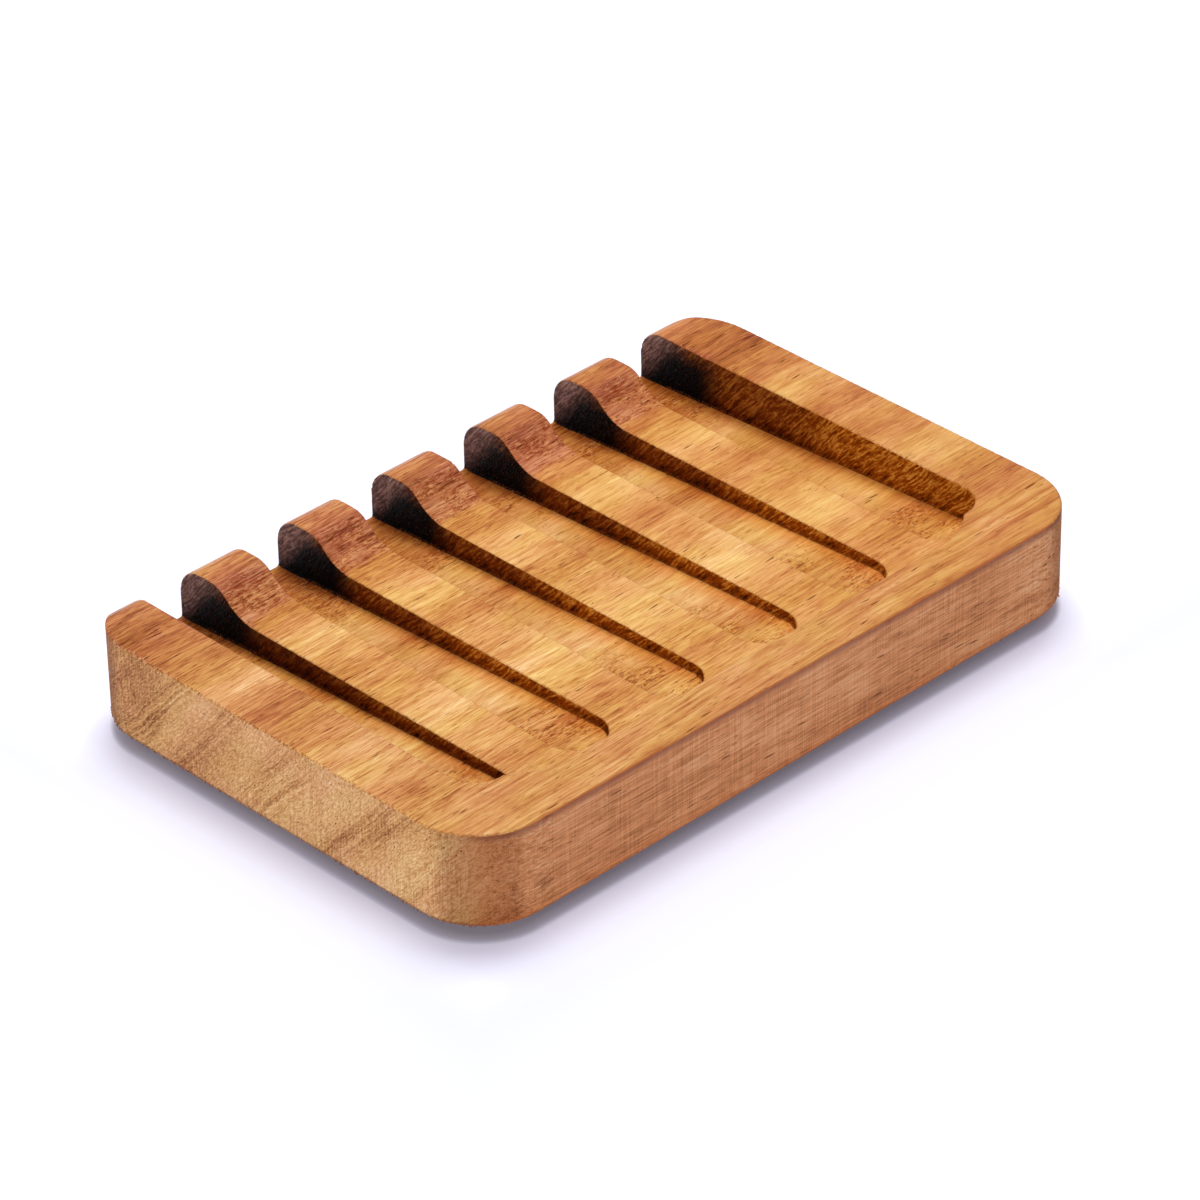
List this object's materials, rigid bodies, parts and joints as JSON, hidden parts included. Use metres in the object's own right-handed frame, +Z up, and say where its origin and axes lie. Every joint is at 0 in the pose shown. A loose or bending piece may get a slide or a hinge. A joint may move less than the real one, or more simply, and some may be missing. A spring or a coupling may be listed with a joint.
{
  "type": "soap dish",
  "caption": "Wooden soap dish: sunk bed behind a solid front rail, sloping drain slots that run out between round-nosed ribs at the back edge, on rubber feet.",
  "frame": {"origin": "on the surface the dish stands on, under the middle of the dish", "axes": "+X along the length, +Y towards the open drain edge, +Z up"},
  "size_m": [0.13, 0.087, 0.0187],
  "materials": {
    "oiled_hardwood": "oiled, fine-sanded, satin",
    "foot_rubber": "matt"
  },
  "bodies": {
    "root": {"wooden_dish": "oiled_hardwood", "foot_front_left": "foot_rubber", "foot_front_right": "foot_rubber", "foot_back_left": "foot_rubber", "foot_back_right": "foot_rubber"}
  },
  "joints": []
}
